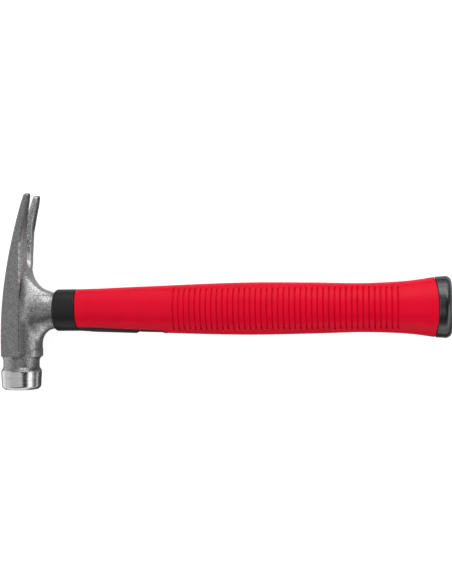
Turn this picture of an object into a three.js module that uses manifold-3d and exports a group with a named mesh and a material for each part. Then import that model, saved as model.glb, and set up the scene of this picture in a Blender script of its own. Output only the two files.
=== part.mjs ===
// Claw hammer with a steel head, a fibre core and a two-material handle.
// Millimetres. The tool lies on its side: +X runs along the handle from the head to the butt,
// +Y from the striking face to the claw, and +Z up, across the width of the tool.
// Sizes are measured from the point where the handle axis crosses the axis of the bell.

import * as THREE from 'three';
import { mergeVertices } from 'three/addons/utils/BufferGeometryUtils.js';
import Module from 'manifold-3d';

const wasm = await Module();
wasm.setup();

// Clearance between bonded or nested pieces, and how far a cutter runs past what it cuts
const FIT = 0.3;
const OVERRUN = 1;

// Fibre core, and the resin that bonds it in the eye
const ROD_HEIGHT = 17;
const ROD_WIDTH = 14.4;
const RESIN_WALL = 0.8;
const RESIN_PLUG = 3;
const PLUG_RECESS = 2.4;

// Head body: flat flanks, front face, and a round post behind
const HEAD_WIDTH = 26;
const HEAD_EDGE = 0.9;
const BODY_FRONT = 11.1;
const BODY_DROP = 33.3;
const FLANK_REAR = 3.2;
const POST_RADIUS = 12.6;
const POST_OFFSET = 3.1;

// Bell and striking face, below the handle axis
const FACE_DROP = 57.6;
const BELL_LENGTH = 14.6;
const BELL_DIAMETER = 29.4;
const BELL_TAPER = 0.65;
const FACE_CHAMFER = 1.8;
const WAIST_DIAMETER = 26.3;
const SHOULDER_LENGTH = 6.5;

// Claw, above the handle axis
const CLAW_HEIGHT = 84.9;
const CLAW_REACH = 8.1;
const CLAW_FRONT_LEAN = 0.32;
const CLAW_REAR_LEAN = 0.25;
const CLAW_TIP_THICKNESS = 4.7;
const CLAW_TIP_ROUND = 3.2;
const CLAW_ROOT_BACK = 5.4;
const CLAW_ROOT_HEIGHT = 36;
const CLAW_BEND_START = 20;

// Nail slot in the claw
const SLOT_DEPTH = 49.8;
const SLOT_ROOT_RADIUS = 3.6;
const SLOT_MOUTH = 13.2;
const SLOT_DRAFT = 0.03;

// Neck that carries the handle, and the webs that blend it into the head
const NECK_WALL = 3.4;
const NECK_TAIL = 4.6;
const UPPER_WEB_HEIGHT = 23;
const UPPER_WEB_WIDTH = 22;
const LOWER_WEB_HEIGHT = 11;
const LOWER_WEB_WIDTH = 14;
const WEB_TIP_WIDTH = 8;
const WEB_BACKING = 6;
const WEB_EDGE = 2;

// Jacket collar behind the head
const COLLAR_FRONT = 27.4;
const COLLAR_LENGTH = 16.9;
const COLLAR_WALL = 1.55;
const COLLAR_CHAMFER_LENGTH = 2.8;
const COLLAR_CHAMFER_DROP = 1.2;

// Grip sleeve and its cross grooves
const GRIP_LENGTH = 256;
const SLEEVE_WALL = 3.2;
const GRIP_END_RADIUS = 83;
const GROOVE_LEAD = 72.05;
const GROOVE_TAIL = 27.35;
const GROOVE_PITCH = 3.915;
const GROOVE_WIDTH = 1.5;
const GROOVE_DEPTH = 0.9;
const GROOVE_SPAN = 30;

// Underside spine of the jacket and the guard strip let into it
const SPINE_FRONT_WIDTH = 16.6;
const SPINE_END_WIDTH = 12.6;
const SPINE_LENGTH = 65.5;
const SPINE_DROP = 0.4;
const SPINE_BOW = 2.6;
const GUARD_LENGTH = 46.1;
const GUARD_THICKNESS = 2.2;
const GUARD_PROUD = 0.6;

// End cap
const CAP_LENGTH = 9;
const CAP_CORNER = 4.5;
const SPIGOT_LENGTH = 15;
const JACKET_SETBACK = 4.5;

// Handle shape behind the collar: how far each station stands out from the collar, in height and in width.
// A station is given as a share of the way from the grip's front to the widest point of the butt.
const HANDLE_STATIONS = [
  { share: 0.00, rise: 0.00, spread: 0.00 },
  { share: 0.18, rise: 1.35, spread: -0.30 },
  { share: 0.51, rise: 3.40, spread: 0.20 },
  { share: 0.66, rise: 2.75, spread: 0.10 },
  { share: 0.80, rise: 2.00, spread: 0.00 },
  { share: 0.935, rise: 3.95, spread: 1.20 },
  { share: 1.00, rise: 6.25, spread: 2.20 },
];

// Fineness of the round shapes
const ROUND_SEGMENTS = 28;
const CURVE_SEGMENTS = 8;
const HANDLE_STEP = 16;

// Places and half sizes that follow from the sizes above
const rod = { height: ROD_HEIGHT / 2, width: ROD_WIDTH / 2 };
const resin = grown(rod, FIT + RESIN_WALL);
const eye = grown(resin, FIT);
const neck = grown(eye, NECK_WALL);
const collar = grown(neck, FIT + COLLAR_WALL);
const neckEnd = COLLAR_FRONT + NECK_TAIL;
const gripFront = COLLAR_FRONT + COLLAR_LENGTH;
const gripEnd = gripFront + GRIP_LENGTH;
const buttEnd = gripEnd + CAP_LENGTH;
const rimPlace = buttEnd - CAP_CORNER;
const jacketEnd = gripEnd - JACKET_SETBACK;
const capSeat = jacketEnd + FIT;
const spigotTip = capSeat - SPIGOT_LENGTH;
const bellTop = BELL_LENGTH - FACE_DROP;
const halfHead = HEAD_WIDTH / 2;

const handleHeight = stationCurve((station) => collar.height + station.rise);
const handleWidth = stationCurve((station) => collar.width + station.spread);

// An oval's half sizes with a wall of even thickness added all round
function grown(oval, wall) {
  return { height: oval.height + wall, width: oval.width + wall };
}

// A smooth curve along the handle through one value for each station, level along the collar
function stationCurve(valueOf) {
  const places = [COLLAR_FRONT];
  const values = [valueOf(HANDLE_STATIONS[0])];
  for (const station of HANDLE_STATIONS) {
    places.push(gripFront + station.share * (rimPlace - gripFront));
    values.push(valueOf(station));
  }
  const curve = new THREE.CubicInterpolant(places, values, 1);
  return (x) => curve.evaluate(x)[0];
}

// A closed geometry as a solid whose faces point out
function solid(geometry) {
  const bare = geometry.index ? geometry.toNonIndexed() : geometry.clone();
  bare.deleteAttribute('normal');
  bare.deleteAttribute('uv');
  const merged = mergeVertices(bare, 1e-4);
  const points = merged.attributes.position;
  const corners = [0, 1, 2].map(() => new THREE.Vector3());
  const triangles = [];
  let volume = 0;
  for (let i = 0; i < merged.index.count; i += 3) {
    const [a, b, c] = [0, 1, 2].map((k) => merged.index.getX(i + k));
    if (a === b || b === c || c === a) continue;
    triangles.push([a, b, c]);
    [a, b, c].forEach((index, k) => corners[k].fromBufferAttribute(points, index));
    volume += corners[0].dot(corners[1].cross(corners[2]));
  }
  const outward = volume > 0 ? triangles : triangles.map((triangle) => triangle.reverse());
  const triVerts = new Uint32Array(outward.flat());
  return new wasm.Manifold(new wasm.Mesh({ numProp: 3, vertProperties: points.array, triVerts }));
}

// Moves every vertex of a geometry by a function that changes it in place
function reshape(geometry, change) {
  const points = geometry.attributes.position;
  const vertex = new THREE.Vector3();
  for (let i = 0; i < points.count; i += 1) {
    vertex.fromBufferAttribute(points, i);
    change(vertex);
    points.setXYZ(i, vertex.x, vertex.y, vertex.z);
  }
  return geometry;
}

// A turned shape about the handle axis; the profile holds [place along X, radius] pairs
function turnedAlongX(profile) {
  const points = profile.map(([x, radius]) => new THREE.Vector2(radius, x));
  return new THREE.LatheGeometry(points, ROUND_SEGMENTS).rotateZ(-Math.PI / 2);
}

// A straight oval bar along the handle axis
function ovalBar(oval, from, to) {
  const profile = [[from, 0], [from, oval.height], [to, oval.height], [to, 0]];
  return solid(turnedAlongX(profile).scale(1, 1, oval.width / oval.height));
}

// Even places along X between two ends, no further apart than the handle's step
function evenPlaces(from, to) {
  const steps = Math.ceil((to - from) / HANDLE_STEP);
  return Array.from({ length: steps + 1 }, (_, i) => from + (to - from) * i / steps);
}

// The handle's outer shape with a ring at each given place, drawn in evenly by an inset
function handleRings(places, inset) {
  const profile = places.map((x) => [x, handleHeight(x) - inset]);
  profile.unshift([places[0], 0]);
  profile.push([places.at(-1), 0]);
  return reshape(turnedAlongX(profile), (vertex) => flattenToHandle(vertex, inset));
}

// The handle's plain outer shape between two places, drawn in evenly by an inset
function handleBar(inset, from, to) {
  return solid(handleRings(evenPlaces(from, to), inset));
}

// Turns a round section of the handle into the oval one at the same place
function flattenToHandle(vertex, inset) {
  vertex.z *= (handleWidth(vertex.x) - inset) / (handleHeight(vertex.x) - inset);
}

// A flat outline seen from the side (X, Y), as thick as the given width, with its edges broken
function sidePlate(shape, width, edge = 0) {
  const geometry = new THREE.ExtrudeGeometry(shape, {
    depth: width - 2 * edge,
    curveSegments: CURVE_SEGMENTS,
    bevelEnabled: edge > 0,
    bevelThickness: edge,
    bevelSize: edge,
    bevelOffset: -edge,
    bevelSegments: 1,
  });
  return geometry.translate(0, 0, edge - width / 2);
}

// A flat outline seen from the front (Z, Y), run along X between two places
function frontPlate(shape, from, to) {
  const settings = { depth: to - from, curveSegments: CURVE_SEGMENTS, bevelEnabled: false };
  return new THREE.ExtrudeGeometry(shape, settings).rotateY(Math.PI / 2).translate(from, 0, 0);
}

// A named sub-part made from a solid
function subPart(name, body, material) {
  const { vertProperties, triVerts } = body.getMesh();
  const geometry = new THREE.BufferGeometry();
  geometry.setAttribute('position', new THREE.BufferAttribute(vertProperties, 3));
  geometry.setIndex(new THREE.BufferAttribute(triVerts, 1));
  geometry.computeVertexNormals();
  const mesh = new THREE.Mesh(geometry, material);
  mesh.name = name;
  return mesh;
}

// Body and claw seen from the side: a front edge that sweeps back to the tip, and a hollow rear edge
function headSideShape() {
  const tipBack = CLAW_REACH + CLAW_TIP_THICKNESS;
  const sweep = (CLAW_HEIGHT + CLAW_BEND_START) / 3;
  const hollow = (CLAW_HEIGHT - CLAW_ROOT_HEIGHT) / 3;
  const shape = new THREE.Shape();
  shape.moveTo(FLANK_REAR, -BODY_DROP);
  shape.lineTo(FLANK_REAR, 0);
  shape.lineTo(CLAW_ROOT_BACK, CLAW_ROOT_HEIGHT);
  shape.bezierCurveTo(
    CLAW_ROOT_BACK, CLAW_ROOT_HEIGHT + hollow,
    tipBack - CLAW_REAR_LEAN * hollow, CLAW_HEIGHT - hollow,
    tipBack, CLAW_HEIGHT,
  );
  shape.lineTo(CLAW_REACH, CLAW_HEIGHT);
  shape.bezierCurveTo(
    CLAW_REACH - CLAW_FRONT_LEAN * sweep, CLAW_HEIGHT - sweep,
    -BODY_FRONT, sweep - CLAW_BEND_START,
    -BODY_FRONT, -CLAW_BEND_START,
  );
  shape.lineTo(-BODY_FRONT, -BODY_DROP);
  return shape;
}

// Body and claw seen from the front, with the corners of the claw rounded
function headFrontShape() {
  const turn = CLAW_HEIGHT - CLAW_TIP_ROUND;
  const shape = new THREE.Shape();
  shape.moveTo(-halfHead, -BODY_DROP);
  shape.lineTo(halfHead, -BODY_DROP);
  shape.lineTo(halfHead, turn);
  shape.absarc(halfHead - CLAW_TIP_ROUND, turn, CLAW_TIP_ROUND, 0, Math.PI / 2, false);
  shape.lineTo(CLAW_TIP_ROUND - halfHead, CLAW_HEIGHT);
  shape.absarc(CLAW_TIP_ROUND - halfHead, turn, CLAW_TIP_ROUND, Math.PI / 2, Math.PI, false);
  return shape;
}

// Nail slot seen from the front: a round root that opens to the mouth between the tips
function slotFrontShape() {
  const rootPlace = CLAW_HEIGHT - SLOT_DEPTH + SLOT_ROOT_RADIUS;
  const mouthPlace = CLAW_HEIGHT + OVERRUN;
  const shape = new THREE.Shape();
  shape.moveTo(SLOT_MOUTH / 2, mouthPlace);
  shape.lineTo(-SLOT_MOUTH / 2, mouthPlace);
  shape.lineTo(-SLOT_ROOT_RADIUS, rootPlace);
  shape.absarc(0, rootPlace, SLOT_ROOT_RADIUS, Math.PI, 2 * Math.PI, false);
  return shape;
}

// Slot cutter, wider on the handle side than on the front
function slotCutter() {
  const from = -BODY_FRONT - OVERRUN;
  const to = CLAW_REACH + CLAW_TIP_THICKNESS + OVERRUN;
  const geometry = frontPlate(slotFrontShape(), from, to);
  return solid(reshape(geometry, (vertex) => {
    vertex.z *= 1 + SLOT_DRAFT * (vertex.x - CLAW_ROOT_BACK);
  }));
}

// Bell, chamfered face and waist, turned about the upright axis of the head
function bellAndWaist() {
  const bellRadius = BELL_DIAMETER / 2;
  const endRadius = bellRadius - BELL_TAPER;
  const waistRadius = WAIST_DIAMETER / 2;
  const waistPlace = (bellTop - BODY_DROP) / 2;
  const shoulderTop = SHOULDER_LENGTH - BODY_DROP;
  const outline = new THREE.Path();
  outline.moveTo(0, -FACE_DROP);
  outline.lineTo(endRadius - FACE_CHAMFER, -FACE_DROP);
  outline.lineTo(endRadius, FACE_CHAMFER - FACE_DROP);
  outline.lineTo(bellRadius, bellTop);
  outline.quadraticCurveTo(waistRadius, bellTop, waistRadius, waistPlace);
  outline.lineTo(waistRadius, -BODY_DROP);
  outline.lineTo(waistRadius - NECK_WALL, shoulderTop);
  outline.lineTo(0, shoulderTop);
  return solid(new THREE.LatheGeometry(outline.getPoints(CURVE_SEGMENTS / 2), ROUND_SEGMENTS));
}

// Round post behind the flanks, up to the top of the neck
function rearPost() {
  const length = BODY_DROP + neck.height;
  const geometry = new THREE.CylinderGeometry(POST_RADIUS, POST_RADIUS, length, ROUND_SEGMENTS);
  return solid(geometry.translate(POST_OFFSET, neck.height - length / 2, 0));
}

// A web that blends the neck into the head: a hollow curve from the head's rear down to the neck,
// drawn for the upper side and turned over for the lower one
function neckWeb(rootPlace, height, width, side) {
  const reach = COLLAR_FRONT - rootPlace;
  const top = neck.height + height;
  const shape = new THREE.Shape();
  shape.moveTo(rootPlace - WEB_BACKING, 0);
  shape.lineTo(COLLAR_FRONT, 0);
  shape.lineTo(COLLAR_FRONT, neck.height);
  shape.bezierCurveTo(
    COLLAR_FRONT - reach / 2, neck.height + FIT,
    rootPlace, neck.height + height / 2,
    rootPlace, top,
  );
  shape.lineTo(rootPlace - WEB_BACKING, top);
  const geometry = sidePlate(shape, width, WEB_EDGE);
  return solid(reshape(geometry, (vertex) => {
    const along = THREE.MathUtils.clamp((vertex.x - rootPlace) / reach, 0, 1);
    vertex.z *= THREE.MathUtils.lerp(1, WEB_TIP_WIDTH / width, along);
    vertex.y *= side;
  }));
}

// Forged steel head with its eye and nail slot
function hammerHead(material) {
  const frontPlace = -BODY_FRONT - OVERRUN;
  const clawBack = CLAW_REACH + CLAW_TIP_THICKNESS + OVERRUN;
  const body = solid(sidePlate(headSideShape(), HEAD_WIDTH, HEAD_EDGE))
    .intersect(solid(frontPlate(headFrontShape(), frontPlace, clawBack)));
  const forging = body
    .add(bellAndWaist())
    .add(rearPost())
    .add(ovalBar(neck, 0, neckEnd))
    .add(neckWeb(CLAW_ROOT_BACK, UPPER_WEB_HEIGHT, UPPER_WEB_WIDTH, 1))
    .add(neckWeb(POST_OFFSET + POST_RADIUS, LOWER_WEB_HEIGHT, LOWER_WEB_WIDTH, -1));
  const bored = forging
    .subtract(ovalBar(eye, frontPlace, neckEnd + OVERRUN))
    .subtract(slotCutter());
  return subPart('hammer_head', bored, material);
}

// Resin sleeve round the rod in the eye, closed by a plug at the front
function eyeResin(material) {
  const plugFront = PLUG_RECESS - BODY_FRONT;
  const sleeve = ovalBar(resin, plugFront, neckEnd)
    .subtract(ovalBar(grown(rod, FIT), plugFront + RESIN_PLUG, neckEnd + OVERRUN));
  return subPart('eye_resin', sleeve, material);
}

// Fibre rod from the plug in the eye to the cap's spigot
function coreRod(material) {
  const rodFront = PLUG_RECESS - BODY_FRONT + RESIN_PLUG + FIT;
  return subPart('core_rod', ovalBar(rod, rodFront, spigotTip - FIT), material);
}

// Half width of the sleeve's underside slot, which narrows towards the butt
function slotHalfWidth(x) {
  const along = (x - gripFront) / SPINE_LENGTH;
  return THREE.MathUtils.lerp(SPINE_FRONT_WIDTH, SPINE_END_WIDTH, along) / 2;
}

// A block under the handle axis with the slot's plan between two places, widened by a margin,
// whose rear end bows towards the butt
function undersideBlock(from, to, margin) {
  const side = to - SPINE_BOW;
  const front = slotHalfWidth(from) + margin;
  const rear = slotHalfWidth(side) + margin;
  const plan = new THREE.Shape();
  plan.moveTo(from, -front);
  plan.lineTo(side, -rear);
  plan.quadraticCurveTo(to + SPINE_BOW, 0, side, rear);
  plan.lineTo(from, front);
  const settings = {
    depth: 2 * handleHeight(rimPlace),
    curveSegments: CURVE_SEGMENTS,
    bevelEnabled: false,
  };
  return solid(new THREE.ExtrudeGeometry(plan, settings).rotateX(Math.PI / 2));
}

// The strip of the handle that lies in such a block, inset from the handle's surface
function undersideStrip(inset, from, to, margin) {
  return handleBar(inset, from, to).intersect(undersideBlock(from, to, margin));
}

// Guard strip, as wide as the spine and a little proud of the sleeve
function guardBody() {
  const from = gripFront + FIT;
  const to = gripFront + GUARD_LENGTH;
  return undersideStrip(-GUARD_PROUD, from, to, -FIT)
    .subtract(handleBar(GUARD_THICKNESS, from - OVERRUN, to + OVERRUN));
}

// Hard jacket: collar, tube under the sleeve, and the spine in the sleeve's underside slot
function handleJacket(material) {
  const tubeInset = SLEEVE_WALL + FIT;
  const spineEnd = gripFront + SPINE_LENGTH - FIT;
  const guardEnd = gripFront + GUARD_LENGTH + FIT;
  const tubeFront = COLLAR_FRONT + COLLAR_CHAMFER_LENGTH;
  const collarProfile = [
    [COLLAR_FRONT, 0],
    [COLLAR_FRONT, collar.height - COLLAR_CHAMFER_DROP],
    [tubeFront, collar.height],
    [gripFront, collar.height],
    [gripFront, 0],
  ];
  const collarBody = solid(turnedAlongX(collarProfile).scale(1, 1, collar.width / collar.height));
  const spine = undersideStrip(SPINE_DROP, tubeFront, spineEnd, -FIT);
  const pocket = undersideStrip(-OVERRUN, gripFront, guardEnd, OVERRUN)
    .subtract(handleBar(GUARD_THICKNESS + FIT, gripFront - OVERRUN, guardEnd + OVERRUN));
  const jacket = spine
    .subtract(pocket)
    .add(collarBody)
    .add(handleBar(tubeInset, tubeFront, jacketEnd))
    .subtract(ovalBar(grown(rod, FIT), COLLAR_FRONT - OVERRUN, jacketEnd + OVERRUN))
    .subtract(ovalBar(grown(neck, FIT), COLLAR_FRONT - OVERRUN, neckEnd + FIT));
  return subPart('handle_jacket', jacket, material);
}

// Everything ahead of the curved joint between grip and cap, moved along the handle by an offset
function aheadOfGripEnd(offset) {
  const end = gripEnd + offset;
  const half = handleHeight(rimPlace) + OVERRUN;
  const sweep = Math.asin(half / GRIP_END_RADIUS);
  const shape = new THREE.Shape();
  shape.moveTo(gripFront - OVERRUN, half);
  shape.lineTo(gripFront - OVERRUN, -half);
  shape.absarc(end - GRIP_END_RADIUS, 0, GRIP_END_RADIUS, -sweep, sweep, false);
  return solid(sidePlate(shape, 2 * half));
}

// Middles of the cross grooves along the grip
function groovePlaces() {
  const count = Math.round((GRIP_LENGTH - GROOVE_LEAD - GROOVE_TAIL) / GROOVE_PITCH) + 1;
  return Array.from({ length: count }, (_, i) => gripFront + GROOVE_LEAD + i * GROOVE_PITCH);
}

// The grip's outer shape, with each groove pressed into both sides between its two edges
function groovedBar(from, to) {
  const grooves = groovePlaces();
  const half = GROOVE_WIDTH / 2;
  const places = [
    ...evenPlaces(from, grooves[0] - GROOVE_PITCH / 2),
    ...grooves.flatMap((x) => [x - half, x, x + half]),
    ...evenPlaces(grooves.at(-1) + GROOVE_PITCH / 2, to),
  ];
  return solid(reshape(handleRings(places, 0), (vertex) => {
    const nearest = Math.min(...grooves.map((x) => Math.abs(vertex.x - x)));
    const onSide = Math.abs(vertex.y) < GROOVE_SPAN / 2;
    const depth = onSide ? GROOVE_DEPTH * Math.max(0, 1 - nearest / half) : 0;
    const radius = Math.max(Math.hypot(vertex.y, vertex.z), depth);
    const shrink = radius > 0 ? 1 - depth / radius : 1;
    vertex.y *= shrink;
    vertex.z *= shrink;
  }));
}

// Soft sleeve with its underside slot and its grooves
function gripSleeve(material) {
  const from = gripFront + FIT;
  const slotEnd = gripFront + SPINE_LENGTH;
  const sleeve = groovedBar(from, gripEnd)
    .intersect(aheadOfGripEnd(0))
    .subtract(handleBar(SLEEVE_WALL, from - OVERRUN, gripEnd + OVERRUN))
    .subtract(undersideBlock(from - OVERRUN, slotEnd, 0));
  return subPart('grip_sleeve', sleeve, material);
}

// Flared butt cap with a seat against the jacket's end and a spigot in the jacket's bore
function endCap(material) {
  const rim = handleHeight(rimPlace);
  const outline = new THREE.Path();
  outline.moveTo(0, rimPlace);
  outline.lineTo(rim, rimPlace);
  outline.absarc(rim - CAP_CORNER, rimPlace, CAP_CORNER, 0, Math.PI / 2, false);
  outline.lineTo(0, buttEnd);
  const profile = outline.getPoints(CURVE_SEGMENTS / 2).map((point) => [point.y, point.x]);
  const butt = solid(reshape(turnedAlongX(profile), (vertex) => {
    vertex.z *= handleWidth(rimPlace) / rim;
  }));
  const flare = handleBar(0, gripEnd - 2 * JACKET_SETBACK, rimPlace).subtract(aheadOfGripEnd(FIT));
  const seat = handleBar(SLEEVE_WALL + FIT, capSeat, rimPlace);
  const cap = butt
    .add(flare)
    .add(seat)
    .add(ovalBar(rod, spigotTip, rimPlace));
  return subPart('end_cap', cap, material);
}

const forgedSteel = new THREE.MeshStandardMaterial({ color: 0x8a8a88, roughness: 0.5, metalness: 1 });
const fibreGlass = new THREE.MeshStandardMaterial({ color: 0xd8cf9a, roughness: 0.55, metalness: 0 });
const curedResin = new THREE.MeshStandardMaterial({ color: 0x3a3a36, roughness: 0.35, metalness: 0 });
const blackPlastic = new THREE.MeshStandardMaterial({ color: 0x1c1d1e, roughness: 0.5, metalness: 0 });
const redRubber = new THREE.MeshStandardMaterial({ color: 0xdc0a2c, roughness: 0.55, metalness: 0 });

const tool = new THREE.Group();
tool.add(hammerHead(forgedSteel));
tool.add(eyeResin(curedResin));
tool.add(coreRod(fibreGlass));
tool.add(handleJacket(blackPlastic));
tool.add(subPart('overstrike_guard', guardBody(), blackPlastic));
tool.add(gripSleeve(redRubber));
tool.add(endCap(blackPlastic));

// The finished part lies on the plane Z = 0 with its box centred over the origin
const box = new THREE.Box3().setFromObject(tool);
const middle = box.getCenter(new THREE.Vector3());
tool.position.set(-middle.x, -middle.y, -box.min.z);

const hammer = new THREE.Group();
hammer.add(tool);

export default hammer;
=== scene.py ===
import math

import bmesh
import bpy
import numpy as np
import openvdb
from mathutils import Matrix, Vector


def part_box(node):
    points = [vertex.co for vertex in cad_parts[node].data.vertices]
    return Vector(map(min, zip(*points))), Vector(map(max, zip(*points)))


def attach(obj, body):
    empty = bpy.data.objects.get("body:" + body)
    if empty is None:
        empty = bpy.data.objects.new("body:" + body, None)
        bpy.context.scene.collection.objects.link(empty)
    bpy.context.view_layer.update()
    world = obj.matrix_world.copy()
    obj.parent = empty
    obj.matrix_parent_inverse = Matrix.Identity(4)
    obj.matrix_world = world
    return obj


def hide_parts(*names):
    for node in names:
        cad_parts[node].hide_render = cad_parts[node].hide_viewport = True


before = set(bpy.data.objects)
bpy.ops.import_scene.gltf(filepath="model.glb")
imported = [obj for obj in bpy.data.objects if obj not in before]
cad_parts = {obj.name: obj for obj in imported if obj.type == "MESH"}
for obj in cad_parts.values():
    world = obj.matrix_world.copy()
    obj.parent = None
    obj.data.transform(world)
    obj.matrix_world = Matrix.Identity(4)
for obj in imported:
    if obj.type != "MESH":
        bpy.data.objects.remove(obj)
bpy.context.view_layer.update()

# Lengths below are in millimetres, from the point where the handle axis crosses the axis of the bell:
# +X runs along the handle to the butt, +Y from the face to the claw, +Z across the width.
MM = 0.001
FIT = 0.3

# Head body: flat flanks, front face, and a round post behind
HEAD_HALF_WIDTH = 13.0
BODY_FRONT = 11.1
BODY_DROP = 33.3
FLANK_REAR = 3.2
POST_RADIUS = 12.6
POST_OFFSET = 3.1

# Bell and striking face
FACE_DROP = 57.6
BELL_LENGTH = 14.6
BELL_RADIUS = 14.7
BELL_TAPER = 0.65
FACE_CHAMFER = 1.8
WAIST_RADIUS = 13.15
WAIST_FLATTEN = 0.5

# Claw and nail slot
CLAW_HEIGHT = 84.9
CLAW_REACH = 7.4
CLAW_FRONT_LEAN = 0.32
CLAW_REAR_LEAN = 0.25
CLAW_TIP_THICKNESS = 5.4
CLAW_TIP_ROUND = 2.4
CLAW_ROOT_BACK = 5.4
CLAW_ROOT_HEIGHT = 36.0
CLAW_BEND_START = 20.0
CLAW_BEVEL = 2.3
CLAW_BEVEL_WIDTH = 2.5
CLAW_CROWN = 0.9
SLOT_ROOT_PLACE = 36.8
SLOT_ROOT_SLOPE = 0.95
SLOT_ROOT_RADIUS = 3.6
SLOT_MOUTH = 13.2
SLOT_DRAFT = 0.03

# Hollow blends from the head into the neck, and the distances from the middle plane where they fade
UPPER_BLEND = 29.0
UPPER_SKEW = 1.2
UPPER_FADE = (5.3, 12.3)
LOWER_BLEND = 11.5
LOWER_FADE = (3.5, 12.5)
NECK_FLATNESS = 0.8

# Roundings of the head's edges and hollows, and what the claw's tip adds to them
FRONT_ROUND = 1.1
FRONT_TIP_ROUND = 0.7
BACK_ROUND = 0.8
BACK_TIP_ROUND = 2.2
SLOT_ROUND = 0.7
SLOT_TIP_ROUND = 2.4
BEVEL_EDGE = 0.6
BODY_END_ROUND = 1.0
FACE_ROUND = 0.5
SHOULDER_ROUND = 2.2
WAIST_FILLET = 2.4
LEDGE_FILLET = 2.0
LEDGE_SIDE_FILLET = 2.5
POST_TOP_ROUND = 1.5
NECK_LOWER_EDGE = 1.2
NECK_UPPER_EDGE = 1.0
EYE_ROUND = 0.6
FORGING_RIPPLE = 0.04

# Half sizes of the ovals round the handle axis, as (height, width)
ROD = (8.5, 7.2)
RESIN = (9.6, 8.3)
EYE = (9.9, 8.6)
NECK = (13.3, 12.0)
COLLAR = (15.15, 13.85)

# Places along the handle
PLUG_FRONT = -8.7
COLLAR_FRONT = 27.4
NECK_END = 32.0
GRIP_FRONT = 44.3
GRIP_END = 300.3
JACKET_END = 295.8
RIM_PLACE = 304.8
BUTT_END = 309.3
SPIGOT_TIP = 281.1

# Sleeve, grooves, underside strip and cap
SLEEVE_WALL = 3.2
GRIP_END_RADIUS = 83.0
GRIP_FRONT_BOW = 2.1
GROOVE_FIRST = 116.35
GROOVE_COUNT = 41
GROOVE_PITCH = 3.915
GROOVE_HALF_WIDTH = 0.7
GROOVE_DEPTH = 0.8
GROOVE_HALF_SPAN = 14.8
SPINE_FRONT_WIDTH = 16.6
SPINE_END_WIDTH = 12.6
SPINE_LENGTH = 65.5
SPINE_DROP = 0.4
SPINE_BOW = 2.6
GUARD_LENGTH = 46.1
GUARD_THICKNESS = 2.2
GUARD_PROUD = 0.6
CAP_CORNER = 4.5

# Handle stations: share of the way from the grip's front to the rim, rise in height, spread in width
STATIONS = np.array([
    (0.000, 0.00, 0.00),
    (0.180, 1.35, -0.30),
    (0.510, 3.40, 0.20),
    (0.660, 2.75, 0.10),
    (0.800, 2.00, 0.00),
    (0.935, 3.95, 1.20),
    (1.000, 6.25, 2.20),
])

# Fineness of the meshes
ROUND = 128
VOXEL = 0.42

# Camera fitted to the photograph: the aim is in millimetres, the distance in metres
CAMERA_AIM = (152.6, 11.88, 0.0)
CAMERA_DISTANCE = 0.728
CAMERA_LEAN = math.radians(9.2)
CAMERA_ROLL = math.radians(-0.64)
FOCAL_PIXELS = 1025.0
PHOTO_HEIGHT = 584
SENSOR = 36.0

# Studio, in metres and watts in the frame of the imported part
FLOOR_HALF = 6.0
FLOOR_DROP = 0.0005
FLOOR_SHADE = 0.5
FLOOR_GLOW = 0.86
FLAG_DROP = 0.0003

# Cards below the tool for its reflections: name, ends along the handle, ends across it, shade
FLAGS = (
    ("flag_post", (-0.2, 0.42), (-0.0585, -0.03), 0.42),
    ("flag_bell_0", (-0.2, -0.15), (-0.16, -0.0585), 0.42),
    ("flag_bell_1", (-0.15, -0.11), (-0.16, -0.0585), 0.12),
    ("flag_bell_2", (-0.11, -0.08), (-0.16, -0.0585), 0.95),
    ("flag_bell_3", (-0.08, 0.42), (-0.16, -0.0585), 0.10),
    ("flag_neck", (-0.2, 0.42), (-0.03, 0.045), 0.95),
    ("flag_claw", (-0.2, 0.42), (0.045, 0.3), 0.3),
)

# Lamps: name, place, aim, width and height, power, and whether reflections show it
LAMPS = (
    ("key", (0.26, 0.62, 0.62), (0.04, 0, 0.01), (0.95, 0.42), 3.75, True),
    ("rim", (0.2, 0.9, 0.28), (0.05, 0, 0.01), (1.2, 0.25), 1.6, True),
    ("fill", (0.25, -0.8, 0.38), (0, 0, 0.02), (0.9, 0.26), 0.55, True),
    ("overhead", (-0.46, 0.1, 0.78), (-0.2, 0, 0), (1.1, 1.1), 2.5, True),
    ("right", (0.6, -0.27, 0.31), (-0.14, -0.1, 0.02), (0.6, 0.38), 1.1, True),
    ("bell", (0.07, -0.185, 0.78), (0.07, -0.185, 0), (0.28, 0.23), 0.16, True),
    ("butt", (0.24, 0.12, 0.34), (0.15, 0, 0), (0.2, 0.2), 0.08, False),
)

# World light: axis, where it starts and ends to darken along it, and its level before and after
WORLD_RAMPS = (
    ("Z", 0.42, 0.68, 0.85, 0.034),
    ("X", 0.35, 0.75, 1.0, 0.4),
)

# Colour sockets of Blender's mix node: its two inputs and its result
MIX_A, MIX_B, MIX_RESULT = 6, 7, 2

head_low, head_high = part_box("hammer_head")
rod_low, rod_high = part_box("core_rod")
ORIGIN = np.array([
    head_low.x + BELL_RADIUS * MM,
    (rod_low.y + rod_high.y) / 2,
    (head_low.z + head_high.z) / 2,
])


# Plain number helpers

def smoothstep(low, high, value):
    t = np.clip((value - low) / (high - low), 0, 1)
    return t * t * (3 - 2 * t)


def window(start, full, fade, end, value):
    """Rises from 0 to 1 between start and full, and falls to 0 again between fade and end."""
    return smoothstep(start, full, value) * (1 - smoothstep(fade, end, value))


def smooth_min(a, b, k):
    """The lesser of two values, rounded over a reach of k where they meet."""
    h = np.clip(0.5 + 0.5 * (b - a) / k, 0, 1)
    return b + (a - b) * h - k * h * (1 - h)


def smooth_max(a, b, k):
    return -smooth_min(-a, -b, k)


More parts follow.
